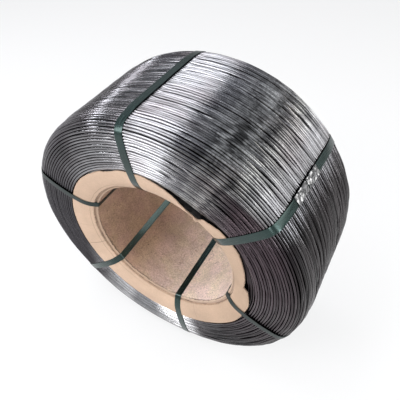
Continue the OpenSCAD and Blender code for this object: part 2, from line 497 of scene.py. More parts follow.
# Highlights painted on the wires of the ends: angle from the top and half width in degrees, strength
PAINTED_HIGHLIGHTS = ((170, 10, 0.7), (210, 8, 0.75))
# How far such a spot reaches in half widths, and the share of its way to the middle on which it fades in
HIGHLIGHT_REACH = 1.5
HIGHLIGHT_FADE = 0.7
# How much of the colour of the left flank's painted shade shows on the ends and on the barrel
END_LEFT_SHADE = 0.62
BARREL_LEFT_SHADE = 1.5
# Heights above the axis over which the right flank's painted shade goes from its low colour to its high one
RIGHT_SHADE_RISE = (-200 * MM, 0.0)
# The edge of the flanks' painted shade: distances from the middle at which it begins and is full, and how
# far patches shift it; on the right that distance is stretched and shifted, by one value on the ends and one
# on the barrel
FLANK_EDGE = (150 * MM, 250 * MM)
FLANK_PATCHES = 80 * MM
RIGHT_STRETCH = (1.0, 2.0)
RIGHT_SHIFT = (50 * MM, -310 * MM)
# Angles from the top, in radians, between which painted highlight and painted reflection bands begin and end
LIT_BAND_START = (-0.22, -0.16)
LIT_BAND_END = (0.15, 0.21)
REFLECTED_BANDS_START = (0.16, 0.36)
REFLECTED_BANDS_END = (0.46, 0.7)
# How far the painted highlight band's end differs from turn to turn, and how much brighter and rougher it is
LIT_BAND_RAGGED = 0.1
LIT_BAND_GAIN = 1.5
LIT_BAND_ROUGH = 0.14
# Bands of painted reflection: how many in a radian and in a metre, how far they differ from turn to turn, how
# dark and how bright they are, and how much blue they keep
BANDS_ROUND = 12.0
BANDS_ALONG = 8.0
BANDS_RAGGED = 0.5
BANDS_GAIN = (0.5, 2.6)
BANDS_BLUE = 0.91


def clean_wire(graph, place, winding, barrel, patches, dim):
    """Colour of the clean wire, with dull patches and highlights painted on the ends"""
    # The ends take the paler steel, as painted light
    wire = graph.mix(barrel, dim * Vector(winding.bright), dim * Vector(winding.steel))
    dull = graph.range(patches, 0.45, 0.7, 0.0, 0.75)
    wire = graph.mix(dull, wire, dim * Vector(winding.tarnish))
    out = place.out()
    on_end = graph.minus(1.0, barrel)
    for degrees, half, strength in PAINTED_HIGHLIGHTS:
        edge = math.cos(math.radians(HIGHLIGHT_REACH * half))
        full = edge + HIGHLIGHT_FADE * (1 - edge)
        facing = graph.math("DIVIDE", place.along(math.radians(degrees)), out)
        # Painted highlight on the ends, round each spot's angle
        rubbed = graph.range(facing, edge, full, 0.0, strength)
        wire = graph.mix(graph.product(rubbed, on_end), wire, dim * Vector(winding.painted_highlight))
    return wire


def dark_wire(graph, place, winding, barrel, dim):
    """Colour of the wire on the flanks, darkened as painted shade: one colour on the left, a darker one on
    the right
    """
    left_shade = dim * Vector(winding.left_shade)
    left_shade = graph.mix(barrel, END_LEFT_SHADE * left_shade, BARREL_LEFT_SHADE * left_shade)
    high = graph.range(place.up, *RIGHT_SHADE_RISE)
    right_shade = graph.mix(high, dim * Vector(winding.right_shade_low), dim * Vector(winding.right_shade))
    right_shade = graph.mix(barrel, right_shade, dim * Vector(winding.right_shade_barrel))
    return graph.mix(graph.range(place.x, *MIDDLE), left_shade, right_shade)


def dark_share(graph, place, barrel, patches):
    """From 0 in the middle of the coil to 1 on its flanks, where the shade is painted"""
    stretch = graph.range(barrel, 0.0, 1.0, *RIGHT_STRETCH)
    shift = graph.range(barrel, 0.0, 1.0, *RIGHT_SHIFT)
    left = graph.product(place.x, -1.0)
    aside = graph.math("MAXIMUM", left, graph.linear(place.x, stretch, shift))
    return graph.range(graph.linear(patches, FLANK_PATCHES, aside), *FLANK_EDGE)


def reflected_bands(graph, place, wire, barrel, tone, turn):
    """A colour with grey-green bands of painted reflection across the wires on one stretch of the coil"""
    across = graph.linear(turn, BANDS_ROUND, graph.product(tone, BANDS_RAGGED))
    spot = graph.combined(across, graph.product(place.y, BANDS_ALONG), 0.0)
    bands = graph.noise(spot, 1.0, detail=3.0, roughness=0.6)
    bands = graph.range(bands, 0.4, 0.62, *BANDS_GAIN)
    share = graph.product(graph.range(turn, *REFLECTED_BANDS_START), graph.range(turn, *REFLECTED_BANDS_END, 1.0, 0.0))
    share = graph.product(share, graph.range(barrel, 0.0, 1.0, 0.5, 1.0))
    gain = graph.combined(bands, bands, graph.product(bands, BANDS_BLUE))
    return graph.mix(share, wire, gain, blend="MULTIPLY")


# dim darkens a copy of the steel as painted shade, for the layer below the outer turns
def wire_steel(winding, name, dim=1.0):
    """Drawn steel wire, in which each turn has its own tone, with painted highlights, reflections and shade
    """
    material, graph, shader = new_material(name)
    place = Place(graph)
    tone = graph.add("ShaderNodeAttribute", attribute_name="tone").outputs["Fac"]
    patches = graph.noise(place.point, 7.0, detail=4.0)
    streaks = graph.noise(place.point, 60.0, detail=3.0)
    barrel = graph.range(place.out(), *BARREL_EDGE)
    turn = place.turn()
    dark = dark_share(graph, place, barrel, patches)
    clean = clean_wire(graph, place, winding, barrel, patches, dim)
    # The flanks take the colours of painted shade
    wire = graph.mix(dark, clean, dark_wire(graph, place, winding, barrel, dim))
    # The tones differ least on the left flank and most on the right of the barrel
    side = graph.product(dark, place.x)
    uneven = graph.range(side, -0.15, 0.15, 0.3, graph.range(barrel, 0.0, 1.0, 0.85, 1.3))
    shade = graph.linear(graph.minus(tone, 0.5), uneven, 0.95)
    wire = graph.shaded(wire, graph.product(shade, graph.range(streaks, 0.3, 0.7, 0.88, 1.08)))
    wire = reflected_bands(graph, place, wire, barrel, tone, turn)
    # Painted highlight: a lighter, rougher band over the top, with a ragged end
    ragged = graph.linear(tone, LIT_BAND_RAGGED, turn)
    lit_band = graph.product(graph.range(turn, *LIT_BAND_START), graph.range(ragged, *LIT_BAND_END, 1.0, 0.0))
    wire = graph.mix(lit_band, wire, Vector((LIT_BAND_GAIN, LIT_BAND_GAIN, LIT_BAND_GAIN)), blend="MULTIPLY")
    rough = graph.sum(graph.range(tone, 0.0, 1.0, 0.14, 0.22), graph.range(patches, 0.4, 0.7, 0.0, 0.08))
    rough = graph.linear(lit_band, LIT_BAND_ROUGH, rough)
    graph.feed(shader, {"Base Color": wire, "Roughness": rough, "Metallic": 1.0})
    return material


def wire_depth():
    """The wires below the outer turns, coloured dark as painted shade in the grooves"""
    material, graph, shader = new_material("wire_depth")
    specks = graph.noise(graph.point(), 90.0, detail=3.0)
    dark = graph.ramp(specks, (0.35, (0.03, 0.03, 0.032)), (0.7, (0.12, 0.115, 0.115)))
    graph.feed(shader, {"Base Color": dark, "Metallic": 0.7, "Roughness": 0.55})
    return material


# Butt seam of the collar's strip and two creases: angle in degrees, half width, strength
COLLAR_SEAMS = ((-113.4, 0.9 * MM, 0.8), (-96.0, 0.7 * MM, 0.25), (152.0, 0.7 * MM, 0.3))
# Stretch of X in which the collar turns darker towards the right as painted shade, and what is left of its
# colour there
SHADED_SIDE = (60 * MM, 180 * MM)
SHADED_BOARD = Vector((0.85, 0.84, 0.82))
# Heights above the axis between which the collar's frayed inner edge, partly painted shadow at the tube,
# grows strong
FRAY_AND_SHADE_RISE = (-140 * MM, -60 * MM)
# The crease beside that edge: distance from the tube, and the stretch of X in which it ends
CREASE_GAP = 5.5 * MM
CREASE_END = (-110 * MM, -30 * MM)


def collar_board(core):
    """Pale tan board with fibres, faint stains, the butt seam of its strip and a frayed brown inner edge,
    partly painted shadow
    """
    material, graph, shader = new_material("collar_board")
    place = Place(graph)
    stains = graph.noise(place.point, 11.0, detail=5.0, roughness=0.6)
    fibres = graph.noise(place.point, 420.0, detail=3.0)
    frays = graph.noise(place.point, 150.0, detail=3.0)
    base = Vector(core.collar_board)
    dark = base * 0.3
    board = graph.ramp(stains, (0.3, base * 0.86), (0.55, base), (0.75, base * 1.12))
    board = graph.shaded(board, graph.range(fibres, 0.3, 0.7, 0.93, 1.05))
    # Painted shade towards the right of the collar
    board = graph.mix(graph.range(place.x, *SHADED_SIDE), board, SHADED_BOARD, blend="MULTIPLY")
    for degrees, width, strength in COLLAR_SEAMS:
        a = math.radians(degrees)
        seam = graph.line(place.aside(a), 0.0, 0.4 * width, width, strength)
        seam = graph.product(seam, graph.math("GREATER_THAN", place.along(a), 0.0))
        board = graph.mix(seam, board, dark)
    out = place.out()
    tube_r = core.bore_d / 2 + core.wall
    # The dark inner edge is partly frayed board and partly painted shadow at the joint with the tube
    edge = graph.linear(frays, -5 * MM, out)
    frayed = graph.range(edge, tube_r - 3 * MM, tube_r - 1 * MM, 0.85, 0.0)
    board = graph.mix(graph.product(frayed, graph.range(place.up, *FRAY_AND_SHADE_RISE, 0.3, 1.0)), board, dark)
    crease = graph.linear(frays, -3 * MM, out)
    crease = graph.line(crease, tube_r + CREASE_GAP, 0.2 * MM, 0.8 * MM, 0.55)
    board = graph.mix(graph.product(crease, graph.range(place.x, *CREASE_END, 1.0, 0.0)), board, base * 0.4)
    graph.feed(shader, {
        "Base Color": board, "Roughness": 0.78, "Normal": graph.bump(fibres, 0.25, 0.6 * MM)})
    return material


# How much of the paler colour of painted light shows on the right side of the bore
LIT_SIDE_SHARE = 0.72


def tube_board(core, end_h):
    """Brown board of the bore, paler on its right side as painted light, with mottles, scuffs, specks,
    scratches and frays
    """
    material, graph, shader = new_material("tube_board")
    point = graph.point()
    parts = graph.parts(point)
    mottle = graph.noise(point, 16.0, detail=6.0, roughness=0.65)
    scuffs = graph.noise(point, 70.0, detail=5.0, roughness=0.7)
    fibres = graph.noise(point, 330.0, detail=3.0)
    specks = graph.noise(point, 190.0, detail=1.0)
    base = Vector(core.tube_board)
    pale = Vector(core.collar_board)
    # Painted light: the bore grows paler towards its right side
    board = graph.mix(graph.range(parts["X"], *MIDDLE, 0.0, LIT_SIDE_SHARE), base, Vector(core.lit_side_board))
    tone = graph.range(mottle, 0.28, 0.72, 0.74, 1.26)
    board = graph.shaded(board, graph.product(tone, graph.range(fibres, 0.25, 0.75, 0.66, 1.34)))
    hues = graph.noise(point, 24.0, detail=3.0)
    hues = graph.ramp(hues, (0.38, (0.99, 0.99, 0.9)), (0.62, (1.03, 0.97, 1.0)))
    board = graph.mix(1.0, board, hues, blend="MULTIPLY")
    board = graph.mix(graph.range(scuffs, 0.55, 0.72, 0.0, 0.45), board, base * 1.8)
    board = graph.mix(graph.range(specks, 0.7, 0.78, 0.0, 0.7), board, base * 0.4)
    for scale, radius, shade in ((42.0, 0.09, base * 0.3), (55.0, 0.06, pale)):
        dots = graph.add("ShaderNodeTexVoronoi", {"Vector": point, "Scale": scale}).outputs["Distance"]
        board = graph.mix(graph.range(dots, 0.6 * radius, radius, 0.75, 0.0), board, shade)
    scratches = graph.line(graph.noise(point, 26.0, detail=1.5), 0.5, 0.003, 0.01, 0.6)
    board = graph.mix(graph.product(scratches, graph.range(mottle, 0.5, 0.56)), board, base * 0.45)
    height = graph.math("ABSOLUTE", parts["Y"])
    board = graph.mix(graph.range(height, end_h - 3.5 * MM, end_h - 1.5 * MM, 0.0, 0.8), board, pale * 0.8)
    frays = graph.minus(graph.noise(point, 140.0, detail=3.0), 0.5)
    fray = graph.line(graph.linear(frays, 6 * MM, height), end_h - 3 * MM, 0.5 * MM, 1.3 * MM, 0.9)
    fray = graph.product(fray, graph.range(graph.noise(point, 14.0), 0.4, 0.5, 0.5, 1.0))
    board = graph.mix(fray, board, base * 0.3)
    graph.feed(shader, {
        "Base Color": board, "Roughness": 0.82, "Normal": graph.bump(scuffs, 0.3, 0.8 * MM)})
    return material


# shade darkens the paint as painted shade; dullness adds roughness, and coat sets the coat weight
def strap_paint(straps, name, shade=1.0, dullness=0.0, coat=0.25):
    """Dark green lacquer on steel, rubbed along the band"""
    material, graph, shader = new_material(name)
    uv = graph.add("ShaderNodeUVMap", uv_map="band").outputs[0]
    rubs = graph.noise(graph.vector("MULTIPLY", uv, (1.6, 7.0, 0.0)), 4.0, detail=4.0, roughness=0.65)
    cloud = graph.noise(graph.point(), 9.0, detail=3.0)
    base = Vector(straps.paint) * shade
    clouded = graph.ramp(cloud, (0.3, base * 0.75), (0.7, base * 1.25))
    graph.feed(shader, {
        "Base Color": graph.mix(graph.range(rubs, 0.55, 0.75, 0.0, 0.6), clouded, base * 1.9),
        "Roughness": graph.range(rubs, 0.35, 0.75, 0.16 + dullness, 0.36 + dullness),
        "Metallic": 0.7, "Coat Weight": coat, "Coat Roughness": 0.12})
    return material


def seal_zinc(straps):
    """Bright zinc sheet, crumpled by the crimping tool"""
    material, graph, shader = new_material("seal_zinc")
    point = graph.point()
    grain = graph.noise(point, 160.0, detail=3.0)
    dents = graph.noise(point, 90.0, detail=1.0)
    base = Vector(straps.zinc)
    graph.feed(shader, {
        "Base Color": graph.ramp(grain, (0.32, base * 0.35), (0.68, base * 1.5)),
        "Roughness": graph.range(grain, 0.3, 0.7, 0.3, 0.14),
        "Normal": graph.bump(dents, 0.4, 2 * MM), "Metallic": 1.0})
    return material


# Wound wire

GOLDEN = (math.sqrt(5) - 1) / 2
# Inputs of the turns that are settings of the winding
WINDING_INPUTS = (
    "Bulge", "Wander", "Jitter", "Lift", "Ripple", "Sink", "Stray Share", "Stray Wander", "Pinch", "Hold")
OTHER_INPUTS = ("Wire Radius", "Strap Half Angle", "Floor Angle", "Seed")
TURN_INPUTS = {
    "Turn Points": "NodeSocketGeometry", "Ring": "NodeSocketObject", "Sides": "NodeSocketInt",
    "Material": "NodeSocketMaterial", **{name: "NodeSocketFloat" for name in WINDING_INPUTS + OTHER_INPUTS}}


class TurnGraph(Graph):
    """Geometry nodes that draw one wandering ring of wire round the axis for each turn point.
    A turn point holds the ring's radius in X and its place on the axis in Y."""

    # Numbers that set apart what is random in the same turn
    STRAY_SALT = 0.53
    TONE_SALT = 0.37
    RISE_SALT = 0.71
    SHIFT_SALT = 0.91
    # How much of chance there is in what is spread evenly
    SPREAD_CHANCE = 0.4
    # Waves round a turn: how many in a radian, step from turn to turn and salt; a small step keeps
    # neighbouring turns alike
    BUNCH_WAVE = (1.6, 0.2, 3.0)
    SINGLE_WAVE = (2.5, 7.3, 11.0)
    CROSSING_WAVE = (0.9, 13.7, 5.0)
    DIP_WAVE = (1.4, 6.3, 17.0)
    LIFT_WAVE = (5.0, 9.1, 2.0)
    RIPPLE_WAVE = (9.0, 5.7, 8.0)
    SHARED_WAVE = (6.0, 0.3, 23.0)
    # Heights of the dip wave between which a turn begins to dip and is down, and how soon freer turns dip
    DIP_EDGE = (0.1, 0.45)
    DIP_ROAM = 3.0
    # Angles from the top between which the tight turns on the left go over into loose ones, and how much of
    # the loose turns' play the tight ones have
    LOOSE_EDGE = (-0.3, -0.15)
    TIGHT_PLAY = 0.25
    # A turn's own shift and rise beside its waves, and the wire radii by which a crossing turn stands out
    OWN_SHIFT = 0.6
    OWN_RISE = 0.4
    CROSSING_RISE = 1.5

    def __init__(self, straps):
        super().__init__(bpy.data.node_groups.new("wire_turns", "GeometryNodeTree"))
        for name, kind in TURN_INPUTS.items():
            self.tree.interface.new_socket(name, in_out="INPUT", socket_type=kind)
        self.tree.interface.new_socket("Wire", in_out="OUTPUT", socket_type="NodeSocketGeometry")
        self.given = self.add("NodeGroupInput").outputs
        self.index = self.add("GeometryNodeInputIndex").outputs[0]
        self.place = self.parts(self.add("GeometryNodeInputPosition").outputs[0])
        self.out = self.vector("NORMALIZE", self.combined(self.place["X"], 0.0, self.place["Z"]))
        self.turned = self.math("ARCTAN2", self.place["X"], self.place["Z"])
        rings = self.placed(self.rings(), self.height(straps), self.drift())
        self.add("NodeGroupOutput", {0: self.wire(rings)})

    def chance(self, salt):
        key = self.linear(self.given["Seed"], salt, self.index)
        return self.add("ShaderNodeTexWhiteNoise", {"W": key}, noise_dimensions="1D").outputs["Value"]

    def spread(self, salt):
        """Like chance, but neighbouring turns come out unlike, so that no wide bands form"""
        own = self.product(self.chance(salt), self.SPREAD_CHANCE)
        return self.math("FRACT", self.linear(self.index, GOLDEN, own))

    def named(self, name, kind="FLOAT"):
        return self.add("GeometryNodeInputNamedAttribute", {"Name": name}, data_type=kind).outputs[0]

    def either_way(self, name):
        return self.linear(self.named(name), 2.0, -1.0)

    def wave(self, reach, step, salt):
        """Smooth noise from -1 to 1 round the ring"""
        row = self.linear(self.named("turn"), step, salt)
        spot = self.vector("ADD", self.scaled(self.out, reach), self.combined(0.0, row, 0.0))
        return self.linear(self.noise(spot, 1.0, detail=1.0), 4.0, -2.0)

    def away(self, a, lean=0.0):
        """Angle between a point and a line along the barrel"""
        line = self.linear(self.place["Y"], lean, a)
        return self.math("ABSOLUTE", self.math("WRAP", self.minus(self.turned, line), math.pi, -math.pi))

    def rings(self):
        """One plain ring for each turn point, which hands its own values on to it"""
        picked = self.math("LESS_THAN", self.chance(self.STRAY_SALT), self.given["Stray Share"])
        points = self.given["Turn Points"]
        for name, value in (
                ("turn", self.index), ("turn_radius", self.place["X"]),
                ("tone", self.spread(self.TONE_SALT)), ("rise", self.spread(self.RISE_SALT)),
                ("shift", self.chance(self.SHIFT_SALT)), ("stray", self.product(picked, self.named("roam")))):
            points = self.add(
                "GeometryNodeStoreNamedAttribute", {"Geometry": points, "Name": name, "Value": value},
                data_type="FLOAT", domain="POINT").outputs[0]
        on_axis = self.combined(0.0, self.place["Y"], 0.0)
        points = self.add("GeometryNodeSetPosition", {"Geometry": points, "Position": on_axis}).outputs[0]
        ring = self.add("GeometryNodeObjectInfo", {"Object": self.given["Ring"]}).outputs["Geometry"]
        rings = self.add("GeometryNodeInstanceOnPoints", {
            "Points": points, "Instance": ring, "Scale": self.named("turn_radius")}).outputs[0]
        return self.add("GeometryNodeRealizeInstances", {"Geometry": rings}).outputs[0]

    def drift(self):
        """How far the wire strays sideways"""
        given = self.given
        single = self.linear(self.either_way("shift"), self.OWN_SHIFT, self.wave(*self.SINGLE_WAVE))
        drift = self.sum(
            self.product(given["Wander"], self.wave(*self.BUNCH_WAVE)), self.product(given["Jitter"], single))
        crossing = self.product(self.named("stray"), given["Stray Wander"], self.wave(*self.CROSSING_WAVE))
        return self.sum(self.product(drift, self.named("roam")), crossing)

    def play(self):
        """How far the wire rises or sinks between the straps"""
        given = self.given
        dip = self.smooth(self.wave(*self.DIP_WAVE), *self.DIP_EDGE)
        dip = self.product(dip, self.math("MINIMUM", self.product(self.named("roam"), self.DIP_ROAM), 1.0))
        lift = self.linear(self.either_way("rise"), self.OWN_RISE, self.wave(*self.LIFT_WAVE))
        play = self.sum(
            self.product(given["Sink"], self.product(dip, -1.0)),
            self.product(given["Lift"], lift),
            self.product(given["Ripple"], self.wave(*self.RIPPLE_WAVE)))
        loose = self.smooth(self.turned, *self.LOOSE_EDGE)
        shared = self.product(self.wave(*self.SHARED_WAVE), self.minus(1.0, loose))
        crossing = self.product(given["Wire Radius"], self.CROSSING_RISE)
        return self.sum(
            self.product(play, self.range(loose, 0.0, 1.0, self.TIGHT_PLAY, 1.0)),
            self.product(given["Ripple"], shared),
            self.product(self.named("stray"), crossing))

    def height(self, straps):
        """How far the wire stands out: held level under the straps and pressed flat on the floor"""
        given = self.given
        nearest = math.pi
        for a, lean in zip(straps.angles, straps.leans):
            nearest = self.math("MINIMUM", self.away(a, lean), nearest)
        past = self.math("MAXIMUM", self.minus(nearest, given["Strap Half Angle"]), 0.0)
        height = self.sum(
            self.product(given["Bulge"], self.smooth(past, 0.0, given["Pinch"])),
            self.product(self.play(), self.smooth(past, 0.0, given["Hold"])))
        floor_way = self.math("DIVIDE", self.away(math.pi), given["Floor Angle"])
        pressed = self.math("EXPONENT", self.product(floor_way, floor_way, -1.0))
        return self.sum(
            self.product(height, self.minus(1.0, pressed)), self.product(self.named("slack"), pressed))

    def placed(self, rings, height, drift):
        """The rings, moved outwards and sideways on the face of the winding"""
        outward = self.parts(self.named("outward", "FLOAT_VECTOR"))
        inward = self.product(outward["X"], -1.0)
        on_axis = self.combined(0.0, outward["Y"], 0.0)
        normal = self.vector("ADD", self.scaled(self.out, outward["X"]), on_axis)
        on_axis = self.combined(0.0, inward, 0.0)
        along = self.vector("ADD", self.scaled(self.out, outward["Y"]), on_axis)
        offset = self.vector("ADD", self.scaled(normal, height), self.scaled(along, drift))
        return self.add("GeometryNodeSetPosition", {"Geometry": rings, "Offset": offset}).outputs[0]

    def wire(self, rings):
        section = self.add("GeometryNodeCurvePrimitiveCircle", {
            "Resolution": self.given["Sides"], "Radius": self.given["Wire Radius"]}).outputs[0]
        wire = self.add("GeometryNodeCurveToMesh", {"Curve": rings, "Profile Curve": section}).outputs[0]
        wire = self.add("GeometryNodeSetShadeSmooth", {"Geometry": wire}).outputs[0]
        wire = self.add("GeometryNodeRealizeInstances", {"Geometry": wire}).outputs[0]
        inputs = {"Geometry": wire, "Material": self.given["Material"]}
        return self.add("GeometryNodeSetMaterial", inputs).outputs[0]


class Turn:
    """One turn: its point on the outline, its outward direction, its freedom to stray and how far it lies
    slack below the solid's face"""

    def __init__(self, point, out, roam, slack=0.0):
        self.point = point
        self.out = out
        self.roam = roam
        self.slack = slack

    def mirrored(self):
        return Turn(flipped(self.point), flipped(self.out), self.roam, self.slack)


# Turns beside the collar over which they get free to stray, and how free they are on the ends
TIED_TURNS = 6
END_ROAM = 0.35
# Drop from turn to turn on the shelf below the rim, and step inwards and down on the wall, in wire diameters
SHELF_DROP = 0.3
WALL_STEP = Vector((0.4, 0.95))
# Points of a ring beside each strap, in half widths of the strap
CLOSE_POINTS = (0.0, 0.7, 1.2, 1.8, 2.5)


def half_turns(winding, core, outline, depth=0.0):
    """The turns of the near end, from beside the collar to the shoulder, and of the near half of the barrel.
    A layer below the outer turns lies at a depth, between those above it."""
    wire_r = winding.wire_d / 2
    d = -wire_r - depth
    first_r = outline.collar_r + core.collar_gap + wire_r
    crown = outline.crown.cut(d, start_r=first_r)
    arcs = [crown, outline.shoulder, outline.haunch]
    end_l = crown.length(d) + outline.shoulder.length(d)
    half_l = end_l + outline.haunch.length(d) + outline.barrel_half
    count = math.floor(half_l / (winding.wire_d + winding.turn_gap) + 0.5)
    pitch = half_l / (count - 0.5)
    start = pitch / 2 if depth else 0.0
    end = []
    barrel = []
    for k in range(count):
        run = start + k * pitch
        point, a = outline.place_along(arcs, d, run)
        roam = min(k / TIED_TURNS, 1.0)
        if run < end_l:
            end.append(Turn(point, direction(a), roam * END_ROAM))
        else:
            slack = winding.slack * min((run - end_l) / outline.haunch.length(d), 1.0)
            barrel.append(Turn(point, direction(a), roam, slack))
    return end, barrel


def wall_turns(winding, core, outline):
    """The turns that show where the near collar is torn, deepest first: the wall of a hollow and its shelf"""
    wire_r = winding.wire_d / 2
    first_r = outline.collar_r + core.collar_gap + wire_r
    below = -core.collar_t - core.seat_gap - wire_r
    points = []
    for k in range(1, core.shelf + 1):
        crown = outline.crown.cut(below, start_r=first_r - k * winding.wire_d)
        drop = SHELF_DROP * (k - 1) * winding.wire_d
        points.append(crown.at(crown.start, below) - Vector((0.0, drop)))
    count = math.ceil(core.channel / winding.wire_d)
    points += [points[-1] - WALL_STEP * winding.wire_d * k for k in range(1, count + 1)]
    return [Turn(point, direction(math.pi), 0.0) for point in reversed(points)]


def ring_angles(straps, outline, coarse):
    """Angles of a ring's points: close beside the straps, where the wires bend, and even elsewhere"""
    close = [outline.strap_half_angle * k for k in CLOSE_POINTS]
    angles = []
    order = sorted(a % (2 * math.pi) for a in straps.angles)
    for a, b in zip(order, order[1:] + [order[0] + 2 * math.pi]):
        span = b - a - 2 * close[-1]
        steps = max(1, round(span / coarse))
        angles += [a + c for c in close]
        angles += [a + close[-1] + span * i / steps for i in range(1, steps)]
        angles += [b - c for c in reversed(close[1:])]
    return angles


def ring_object(name, angles):
    """Closed line round the axis, of radius 1"""
    curve = bpy.data.curves.new(name, "CURVE")
    curve.dimensions = "3D"
    spline = curve.splines.new("POLY")
    spline.points.add(len(angles) - 1)
    for point, a in zip(spline.points, angles):
        point.co = (*round_way(a), 1.0)
    spline.use_cyclic_u = True
    return in_scene(name, curve)


def wound_mesh(name, turns, tree, values):
    """Runs the geometry nodes on a row of turn points and gives the result as a plain mesh"""
    mesh = new_mesh(name + "_points", [(turn.point.x - turn.slack, -turn.point.y, 0.0) for turn in turns])
    outward = [v for turn in turns for v in (turn.out.x, -turn.out.y, 0.0)]
    mesh.attributes.new("outward", "FLOAT_VECTOR", "POINT").data.foreach_set("vector", outward)
    for own in ("roam", "slack"):
        numbers = [getattr(turn, own) for turn in turns]
        mesh.attributes.new(own, "FLOAT", "POINT").data.foreach_set("value", numbers)
    holder = in_scene(mesh.name, mesh)
    modifier = holder.modifiers.new("turns", "NODES")
    modifier.node_group = tree
    for item in tree.interface.items_tree:
        if item.in_out == "INPUT" and item.name in values:
            modifier[item.identifier] = values[item.name]
    depsgraph = bpy.context.evaluated_depsgraph_get()
    wire = bpy.data.meshes.new_from_object(
        holder.evaluated_get(depsgraph), preserve_all_data_layers=True, depsgraph=depsgraph)
    bpy.data.objects.remove(holder)
    wire.name = name
    wire.transform(Matrix.Translation((0.0, 0.0, CENTRE.z)))
    return wire


class COIL_OT_wire_turns(bpy.types.Operator):
    """Winds the outer turns of wire round both ends and the barrel"""
    bl_idname = "coil.wire_turns"
    bl_label = "Wire turns"

    # Angle between two points of a ring and sides of the wire, for the outer turns and for those below
    OUTER_STEP = math.radians(1.35)
    OUTER_SIDES = 8
    BELOW_STEP = math.radians(4)
    BELOW_SIDES = 6
    # Depth of the layer below in wire diameters, and how much of its colour it keeps, darkened as painted
    # shade
    BELOW_DEPTH = 0.85
    BELOW_SHADE = 0.35
    # Angle beside the lowest line of the coil in which the floor presses the turns flat
    FLOOR_ANGLE = math.radians(16)

    def execute(self, context):
        winding, core, straps, outline = coil_plan()
        tree = TurnGraph(straps).tree
        fine = ring_object("fine_ring", ring_angles(straps, outline, self.OUTER_STEP))
        plain = ring_object("plain_ring", ring_angles(straps, outline, self.BELOW_STEP))
        end, barrel = half_turns(winding, core, outline)
        low_end, low_barrel = half_turns(winding, core, outline, depth=self.BELOW_DEPTH * winding.wire_d)
        lower = low_end + low_barrel
        outer = {name: getattr(winding, name.lower().replace(" ", "_")) for name in WINDING_INPUTS}
        outer.update({
            "Wire Radius": winding.wire_d / 2, "Ring": fine, "Sides": self.OUTER_SIDES,
            "Strap Half Angle": outline.strap_half_angle, "Floor Angle": self.FLOOR_ANGLE,
            "Material": wire_steel(winding, "wire_steel")})
        below = {
            **outer, "Ring": plain, "Sides": self.BELOW_SIDES, "Stray Share": 0.0,
            "Material": wire_steel(winding, "wire_steel_below", dim=self.BELOW_SHADE)}
        rows = (
            ("wire_turns_near", wall_turns(winding, core, outline) + end, outer),
            ("wire_turns_near_half", barrel, outer),
            ("wire_turns_far_half", [turn.mirrored() for turn in reversed(barrel)], outer),
            ("wire_turns_far", [turn.mirrored() for turn in end], outer),
            ("wire_turns_below", lower + [turn.mirrored() for turn in reversed(lower)], below))
        meshes = []
        for i, (name, turns, values) in enumerate(rows):
            meshes.append(wound_mesh(name, turns, tree, {**values, "Seed": float(winding.seed + i)}))
        for ring in (fine, plain):
            bpy.data.objects.remove(ring)
        for mesh in meshes:
            add_piece(mesh.name, mesh, ["wire_coil"])
        return {"FINISHED"}


class COIL_OT_wire_depth(bpy.types.Operator):
    """Fills the winding below its outer turns with one turned body"""
    bl_idname = "coil.wire_depth"
    bl_label = "Wire depth"

    SEGMENTS = 180
    SHARP = math.radians(40)
    DISH_STEPS = 6
    CROWN_STEPS = 8
    SHOULDER_STEPS = 8
    HAUNCH_STEPS = 6
    # Depth below the solid's face, in wire diameters
    DEPTH = 1.7
    # Where the hollow below a collar begins, as a share of the way from the tube to the collar's rim
    HOLLOW_START = 0.3

    def execute(self, context):
        winding, core, _, outline = coil_plan()
        below = -self.DEPTH * winding.wire_d
        seat = -core.collar_t - core.seat_gap
        bore_r = outline.tube_r + core.seat_gap
        hollow_r = outline.tube_r + self.HOLLOW_START * (outline.collar_r - outline.tube_r)
        wall_r = outline.collar_r + core.collar_gap - (core.shelf - 1) * winding.wire_d
        points = outline.dish.cut(seat, start_r=bore_r, end_r=hollow_r).points(seat, self.DISH_STEPS)
        floor_h = points[-1].y - core.channel
        points += [Vector((hollow_r, floor_h)), Vector((wall_r, floor_h))]
        points += outline.crown.cut(below, start_r=wall_r).points(below, self.CROWN_STEPS)
        points += outline.shoulder.points(below, self.SHOULDER_STEPS)
        points += outline.haunch.points(below, self.HAUNCH_STEPS)
        section = both_halves(points)
        sections = [(2 * math.pi * i / self.SEGMENTS, section) for i in range(self.SEGMENTS)]
        mesh = finish_mesh(turned_mesh("wire_depth", sections), wire_depth(), self.SHARP)
        add_piece("wire_depth", mesh, ["wire_coil"])
        return {"FINISHED"}


# Core

# Chip out of the near end of the tube, beside the tear: middle in degrees, half width in degrees, depth
TUBE_CHIP = (26.3, 1.6, 7 * MM)
# The torn rim of the near collar: angle from the top in degrees, and how far the rim is drawn in, in mm
NEAR_RIM = (
    (-180, 0), (-50, 0), (-44, 1), (-38, 2), (-31, 2), (-29, 5), (-24, 5), (-19, 1.5), (-11, 1),
    (-4, 1), (4, 7), (8, 11), (12, 16), (18, 26), (22, 32), (24.5, 38), (27.5, 40), (28.5, 30),
    (30, 19), (34, 17), (40, 7), (47, 4), (54, 4), (60, 8), (66, 12), (74, 17), (82, 22), (84, 13),
    (90, 8), (97, 5.5), (104, 5.5), (112, 3), (120, 0), (180, 0))
# Where board stands up from that rim: middle in degrees, half width in degrees, height
NEAR_CURLS = ((29.2, 1.3, 7 * MM), (90.0, 7.0, 4 * MM), (20.0, 4.0, 1.5 * MM))


def hump(degrees, middle, half, height):
    """Rounded hump round the axis, with its middle and half width in degrees"""
    return height * math.exp(-((degrees - middle) / half) ** 2)


def between(points, x):
    """Straight line through a list of points"""
    for (x0, y0), (x1, y1) in zip(points, points[1:]):
        if x0 <= x <= x1:
            return y0 + (y1 - y0) * (x - x0) / (x1 - x0)
    return points[-1][1]


